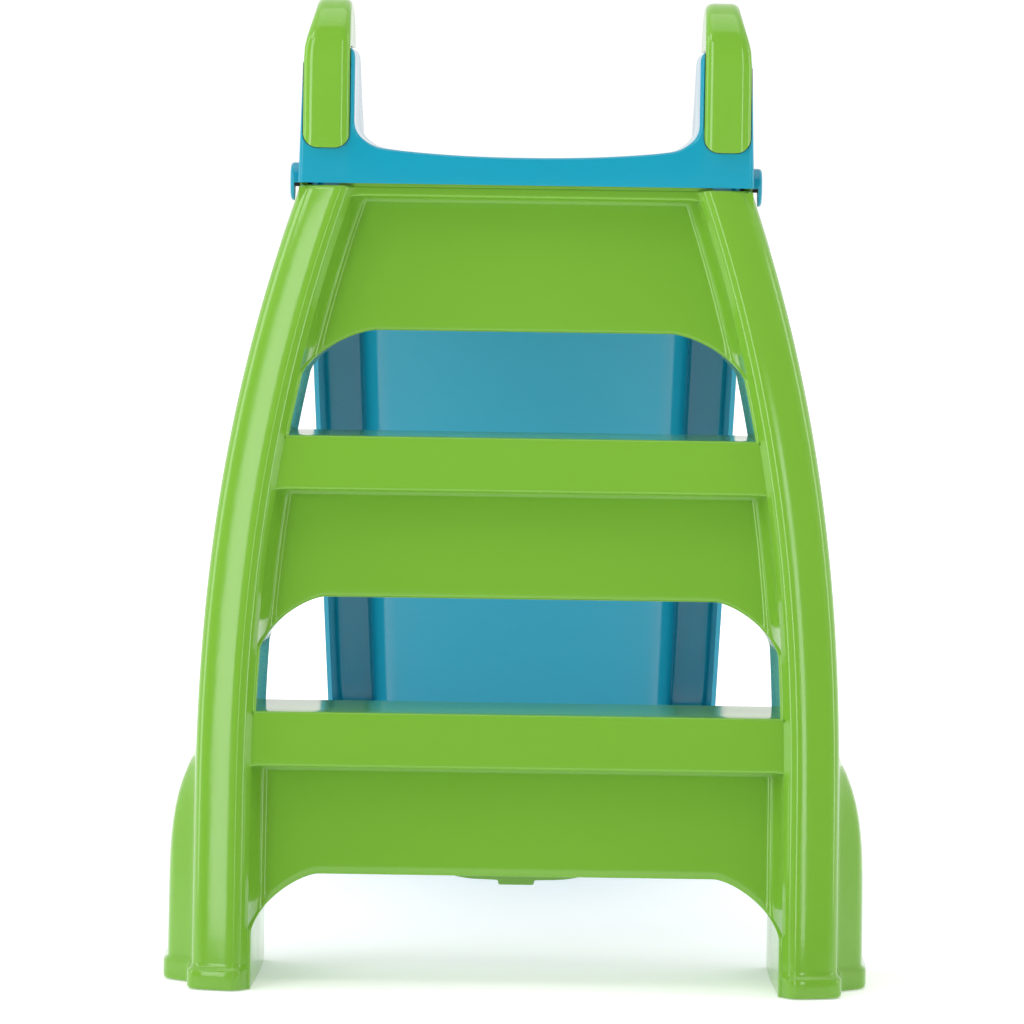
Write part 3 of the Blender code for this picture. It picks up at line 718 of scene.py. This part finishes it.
# ---- chute --------------------------------------------------------------------------
def bed_stations():
    """Points of the bed's side profile: (y, z, slope, distance, inset, solid)."""
    rise = BED_DROP / cos(SLOPE)

    def slope_z(y):
        return DECK_UNDER + rise - (y - LOWER_EDGE_BEND) * tan(SLOPE)

    stations = []

    def add(y, z, slope, inset=0.0, solid=False):
        distance = 0.0
        if stations:
            last = stations[-1]
            distance = last[3] + hypot(y - last[0], z - last[1])
        stations.append((y, z, slope, distance, inset, solid))

    for i in range(6):
        a = i * pi / 10
        inset = DECK_EDGE * (1 - sin(a))
        add(DECK_BACK + DECK_EDGE * (1 - cos(a)), DECK_HEIGHT, 0.0, inset, True)
    add(DECK_BACK + 3.0 * MM, DECK_HEIGHT, 0.0, 0.0, True)
    add(DECK_BACK + 3.6 * MM, DECK_HEIGHT, 0.0)
    bend_y = LOWER_EDGE_BEND + (rise - BED_DROP) / tan(SLOPE)
    bend_start = bend_y - DECK_BEND_RADIUS * tan(SLOPE / 2)
    for y in spread(DECK_BACK + 12 * MM, bend_start, 18)[:-1]:
        add(y, DECK_HEIGHT, 0.0)
    for a in spread(0.0, SLOPE, 17):
        y = bend_start + DECK_BEND_RADIUS * sin(a)
        add(y, DECK_HEIGHT - DECK_BEND_RADIUS * (1 - cos(a)), a)
    turn = SLOPE - EXIT_SLOPE
    reach = RUN_OUT_RADIUS * tan(turn / 2)
    bed_end = CHUTE_END - RAIL_HEIGHT * sin(EXIT_SLOPE)
    start_y = bed_end - RUN_OUT_TAIL - reach * cos(EXIT_SLOPE) - reach * cos(SLOPE)
    for y in spread(stations[-1][0], start_y, 14)[1:-1]:
        add(y, slope_z(y), SLOPE)
    centre_y = start_y + RUN_OUT_RADIUS * sin(SLOPE)
    centre_z = slope_z(start_y) + RUN_OUT_RADIUS * cos(SLOPE)
    for i, a in enumerate(spread(SLOPE, EXIT_SLOPE, 25)):
        y = centre_y - RUN_OUT_RADIUS * sin(a)
        add(y, centre_z - RUN_OUT_RADIUS * cos(a), a, 0.0, i == 24)
    tail_y, tail_z = stations[-1][0], stations[-1][1]
    lip = RUN_OUT_TAIL
    for i in range(1, 7):
        a = i * pi / 12
        d = lip * sin(a)
        add(tail_y + d, tail_z - d * tan(EXIT_SLOPE), EXIT_SLOPE, lip * (1 - cos(a)), True)
    return stations


def edge_drop(y, z, a):
    """How far the side wall reaches below the bed, square to it, down to the floor."""
    if a == 0.0:
        return BED_DROP
    line = DECK_UNDER + LOWER_EDGE_BEND * tan(SLOPE)
    to_line = (z - line + y * tan(SLOPE)) / (cos(a) + tan(SLOPE) * sin(a))
    to_deck_level = (z - DECK_UNDER) / cos(a)
    return min(z / cos(a), max(to_line, min(to_deck_level, BED_DROP)))


def rail_height(distance):
    fall = smooth_step((distance - FIN_LENGTH) / FIN_FALL)
    return FIN_HEIGHT + (RAIL_HEIGHT - FIN_HEIGHT) * fall


def chute_half(drop, crest, widen):
    """The chute's top skin in (x, height), from the outer wall's foot to the centre."""
    outer = SLIDE_HALF_WIDTH + widen
    inner = RAIL_INNER + widen
    bed = BED_EDGE + widen
    lean = SIDE_DRAFT * (crest + drop)
    points = [
        (outer, -drop),
        (outer - lean, crest),
        (inner, crest),
        (inner, 14 * MM),
        (bed, BED_SAG),
        (bed * 0.6, BED_SAG * 0.6 ** SAG_POWER),
    ]
    radii = [8 * MM, 7 * MM, 12 * MM, 9 * MM]
    path = rounded(points, radii, 8)[:-1]
    last_share = path[-1][0] / bed
    for share in spread(last_share, 0.0, 14)[1:]:
        path.append((bed * share, BED_SAG * share ** SAG_POWER))
    return path


def chute_ring(station):
    y, z, a, distance, inset, solid = station
    drop = edge_drop(y, z, a)
    widen = EXIT_FLARE * smooth_step(1 - (CHUTE_END - y) / FLARE_LENGTH)
    narrow = 1 - smooth_step((distance - NARROW_TO) / WIDEN_LENGTH)
    widen -= (SLIDE_HALF_WIDTH - DECK_HALF_WIDTH) * narrow
    top = chute_half(drop, rail_height(distance), widen)
    hollow = offset_path(top, -WALL)
    hollow[0] = (hollow[0][0], -drop)
    if inset:
        top = offset_path(top, -inset)
        top[0] = (top[0][0], -drop)
        top[-1] = (0.0, top[-1][1])
    if solid:
        rail_points = 26
        edge = SLIDE_HALF_WIDTH + widen - max(inset, 0.4 * MM)
        step = (edge - RAIL_INNER - widen) / (rail_points - 1)
        hollow = [(edge - i * step, -drop) for i in range(rail_points)]
        hollow += [(0.985 * x, -drop) for x, _ in top[rail_points:]]
    hollow[-1] = (0.0, hollow[-1][1])
    full_top = top + [(-x, h) for x, h in reversed(top[:-1])]
    full_under = hollow + [(-x, h) for x, h in reversed(hollow[:-1])]
    outline = full_top + list(reversed(full_under))
    return [(x, y + h * sin(a), z + h * cos(a)) for x, h in outline]


def chute_ears(bm):
    """Round bosses over the hinge, a little domed outside."""
    rings = []
    inner = DECK_HALF_WIDTH - WALL + 0.2 * MM
    profile = [(EAR_RADIUS, inner), (EAR_RADIUS, EAR_OUTER - EAR_EDGE)]
    for i in range(1, 7):
        a = i * pi / 12
        radius = EAR_RADIUS - EAR_EDGE * (1 - cos(a))
        profile.append((radius, EAR_OUTER - EAR_EDGE * (1 - sin(a))))
    for radius, x in profile:
        rings.append([(x, y, z) for y, z in circle(PIVOT_Y, PIVOT_Z, radius, 48)])
    loft(bm, rings)
    add_mirror_image(bm)


def ear_hollows(bm):
    prism_x(bm, circle(PIVOT_Y, PIVOT_Z, LUG_RADIUS + 0.8 * MM, 48), LUG_INNER - 3 * MM, EAR_INNER)
    add_mirror_image(bm)


def ear_undersides(bm):
    reach = EAR_RADIUS + 2 * MM
    low, high = PIVOT_Z - reach, DECK_UNDER - 0.2 * MM
    outline = [
        (PIVOT_Y - reach, low), (PIVOT_Y + reach, low),
        (PIVOT_Y + reach, high), (PIVOT_Y - reach, high),
    ]
    prism_x(bm, outline, LUG_INNER - 3.2 * MM, EAR_INNER - 0.02 * MM)
    add_mirror_image(bm)


def ear_bores(bm):
    prism_x(bm, circle(PIVOT_Y, PIVOT_Z, PIN_BORE, 32), EAR_INNER - 1 * MM, EAR_OUTER + 2 * MM)
    add_mirror_image(bm)


def stop_ribs(bm):
    outline = [
        (DECK_BACK + RIB_FRONT, LADDER_TOP + 0.3 * MM),
        (DECK_BACK + RIB_REAR, LADDER_TOP + 0.3 * MM),
        (DECK_BACK + RIB_REAR, DECK_HEIGHT + 0.3 * MM),
        (DECK_BACK + RIB_FRONT, DECK_HEIGHT + 0.3 * MM),
    ]
    prism_x(bm, outline, 56 * MM, 60 * MM)
    add_mirror_image(bm)


def rounded_foot(x0, x1, floor, radius, steps=8):
    """The two lower corners of an upright strip, from x0's side to x1's."""
    points = []
    for centre, start in ((x0 + radius, pi), (x1 - radius, 1.5 * pi)):
        for i in range(steps + 1):
            a = start + i * pi / (2 * steps)
            points.append((centre + radius * cos(a), floor + radius * (1 + sin(a))))
    return points


def handrail_pockets(bm):
    x0 = GRIP_INNER - POCKET_CLEARANCE
    x1 = GRIP_OUTER + POCKET_CLEARANCE
    foot = rounded_foot(x0, x1, HANDRAIL_FOOT - POCKET_CLEARANCE, POCKET_CORNER)
    outline = [(x1, FIN_TOP + 20 * MM), (x0, FIN_TOP + 20 * MM)] + foot
    prism_y(bm, outline, DECK_BACK - 10 * MM, DECK_BACK + POCKET_DEPTH)
    add_mirror_image(bm)


def build_chute(mat):
    bm = bmesh.new()
    loft(bm, [chute_ring(s) for s in bed_stations()], strip_ends=True)
    chute = add_object("chute", bm, mat)
    steps = (
        ("ears", chute_ears, "UNION"),
        ("ear_hollows", ear_hollows, "DIFFERENCE"),
        ("ear_undersides", ear_undersides, "DIFFERENCE"),
        ("stop_ribs", stop_ribs, "UNION"),
        ("pockets", handrail_pockets, "DIFFERENCE"),
        ("ear_bores", ear_bores, "DIFFERENCE"),
    )
    for name, shape, operation in steps:
        cutter = bmesh.new()
        shape(cutter)
        combine(chute, cutter, operation, name)
    shade(chute, 32)
    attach(chute, "slide")
    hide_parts("slide_chute")


# ---- handrails ----------------------------------------------------------------------
def handrail_outer():
    """The handrail's rear, top and front in (y, z), from its foot to its front tip."""
    spring = HANDRAIL_SPRING
    top_y = DECK_BACK + HANDRAIL_TOP_BACK
    seat, tip_rise = HANDRAIL_SEAT, 1.5 * MM
    points = []
    for z in spread(HANDRAIL_FOOT, spring, 8)[:-1]:
        points.append((HANDRAIL_REAR, z))
    for a in spread(pi, pi / 2, 17):
        points.append((
            top_y + (top_y - HANDRAIL_REAR) * cos(a), spring + (HANDRAIL_TOP - spring) * sin(a),
        ))
    for a in spread(pi / 2, 0.0, 17)[1:]:
        points.append((
            top_y + (HANDRAIL_FRONT - top_y) * cos(a),
            seat + tip_rise + (HANDRAIL_TOP - seat - tip_rise) * sin(a),
        ))
    return points


def handrail_outline(inset, foot_rise):
    outer = offset_path(handrail_outer(), inset) if inset else handrail_outer()
    outer[0] = (outer[0][0], HANDRAIL_FOOT + foot_rise)
    seat = HANDRAIL_SEAT
    inner = DECK_BACK + POCKET_DEPTH - POCKET_CLEARANCE
    return outer + [(outer[-1][0], seat), (inner, seat), (inner, outer[0][1])]


def lean_in(across, z):
    """The handrail narrows from its outer side towards its crest."""
    lift = smooth_step((z - LEAN_FROM) / (HANDRAIL_TOP - LEAN_FROM))
    return across * (1 - LEAN_SHARE * lift)


def build_handrail(side, mat):
    width = GRIP_OUTER - GRIP_INNER
    rings = []
    stations = [HANDRAIL_EDGE * (1 - cos(i * pi / 18)) for i in range(10)] + [POCKET_CORNER]
    shapes = []
    for across in stations:
        rise = POCKET_CORNER - (POCKET_CORNER ** 2 - (POCKET_CORNER - across) ** 2) ** 0.5
        near = min(1.0, across / HANDRAIL_EDGE)
        inset = HANDRAIL_EDGE_DEPTH * (1 - (1 - (1 - near) ** 2) ** 0.5)
        shapes.append((across, handrail_outline(inset, rise)))
    shapes += [(width - across, outline) for across, outline in reversed(shapes)]
    for across, outline in shapes:
        rings.append([(side * (GRIP_INNER + lean_in(across, z)), y, z) for y, z in outline])
    bm = bmesh.new()
    loft(bm, rings)
    word = "right" if side > 0 else "left"
    rail = add_object(f"grip_{word}", bm, mat)
    shade(rail, 40)
    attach(rail, "slide")
    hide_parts(f"handrail_{word}")


# ---- fasteners: the CAD nodes with finished materials --------------------------------
def finish_fasteners(pin_mat, screw_mat):
    for name, node in frame["nodes"].items():
        if name.startswith("hinge_pin") or name.startswith("handrail_screw"):
            mat = pin_mat if name.startswith("hinge_pin") else screw_mat
            node.data.materials.clear()
            node.data.materials.append(mat)


# ---- stage: floor, light and camera --------------------------------------------------
def soft_light(name, place, aim, size, power):
    data = bpy.data.lights.new(name, "AREA")
    data.shape = "RECTANGLE"
    data.size, data.size_y = size
    data.energy = power
    light = bpy.data.objects.new(name, data)
    light.location = place
    direction = Vector(aim) - Vector(place)
    light.rotation_euler = direction.to_track_quat("-Z", "Y").to_euler()
    bpy.context.scene.collection.objects.link(light)


def build_stage():
    """A pale floor that glows more away from the slide, so the floor near the slide is darker with
    painted shade, and a room darker behind the ladder.
    """
    bm = bmesh.new()
    bmesh.ops.create_grid(bm, x_segments=1, y_segments=1, size=FLOOR_REACH)
    mat = bpy.data.materials.new("studio_floor")
    mat.use_nodes = True
    shader = mat.node_tree.nodes["Principled BSDF"]
    shader.inputs["Base Color"].default_value = (0.88, 0.88, 0.88, 1.0)
    shader.inputs["Roughness"].default_value = 0.9
    shader.inputs["Specular IOR Level"].default_value = 0.1
    shader.inputs["Emission Color"].default_value = (1.0, 1.0, 1.0, 1.0)
    nodes, links = mat.node_tree.nodes, mat.node_tree.links
    place = nodes.new("ShaderNodeTexCoord")
    reach = nodes.new("ShaderNodeVectorMath")
    reach.operation = "LENGTH"
    links.new(place.outputs["Object"], reach.inputs[0])
    # the floor's glow is weaker near the slide: painted shade that deepens the contact shadows
    # around its feet
    limits = {"From Min": 0.3, "From Max": 2.2, "To Min": 0.33, "To Max": 0.6}
    glow_and_painted_shade = add_range(nodes, links, reach.outputs["Value"], limits, smooth=True)
    links.new(glow_and_painted_shade, shader.inputs["Emission Strength"])
    floor = add_object("studio_floor", bm, mat)
    floor.location.z = -FLOOR_GAP

    world = bpy.data.worlds.new("studio")
    world.use_nodes = True
    nodes, links = world.node_tree.nodes, world.node_tree.links
    background = nodes["Background"]
    background.inputs["Color"].default_value = (1.0, 1.0, 1.0, 1.0)
    place = nodes.new("ShaderNodeTexCoord")
    split = nodes.new("ShaderNodeSeparateXYZ")
    links.new(place.outputs["Generated"], split.inputs["Vector"])
    limits = {"From Min": -0.7, "From Max": 0.0, "To Min": 0.14, "To Max": 1.05}
    fade = add_range(nodes, links, split.outputs["Y"], limits, smooth=True)
    links.new(fade, background.inputs["Strength"])
    bpy.context.scene.world = world
    bpy.context.scene.view_settings.view_transform = "Standard"
    for light in LIGHTS:
        soft_light(*light)


def build_camera():
    """A long lens behind the ladder, level with the deck and slightly rolled."""
    pitch, yaw, roll = [radians(turn) for turn in CAMERA_TURN]
    forward = Vector((-sin(yaw) * cos(pitch), cos(yaw) * cos(pitch), -sin(pitch)))
    right = forward.cross(Vector((0, 0, 1))).normalized()
    up = right.cross(forward)
    turned_right = right * cos(roll) + up * sin(roll)
    turned_up = up * cos(roll) - right * sin(roll)
    rotation = Matrix((turned_right, turned_up, -forward)).transposed()
    data = bpy.data.cameras.new("camera")
    data.lens = CAMERA_LENS
    data.clip_end = 100
    camera = bpy.data.objects.new("camera", data)
    camera.matrix_world = Matrix.Translation(CAMERA_PLACE) @ rotation.to_4x4()
    bpy.context.scene.collection.objects.link(camera)
    bpy.context.scene.camera = camera


def main():
    green = plastic("green_plastic", (0.162, 0.390, 0.031), (0.182, 0.420, 0.037), 0.11, 0.03)
    blue = plastic("blue_plastic", (0.006, 0.275, 0.400), (0.010, 0.305, 0.435), 0.14, 0.04, 0.32)
    dark = plastic("pin_plastic", (0.05, 0.055, 0.06), (0.07, 0.075, 0.08), 0.35, 0.08)
    steel = metal("screw_steel", (0.56, 0.57, 0.58), 0.3)
    build_ladder(green)
    build_chute(blue)
    build_handrail(-1, green)
    build_handrail(1, green)
    finish_fasteners(dark, steel)
    build_stage()
    build_camera()


main()
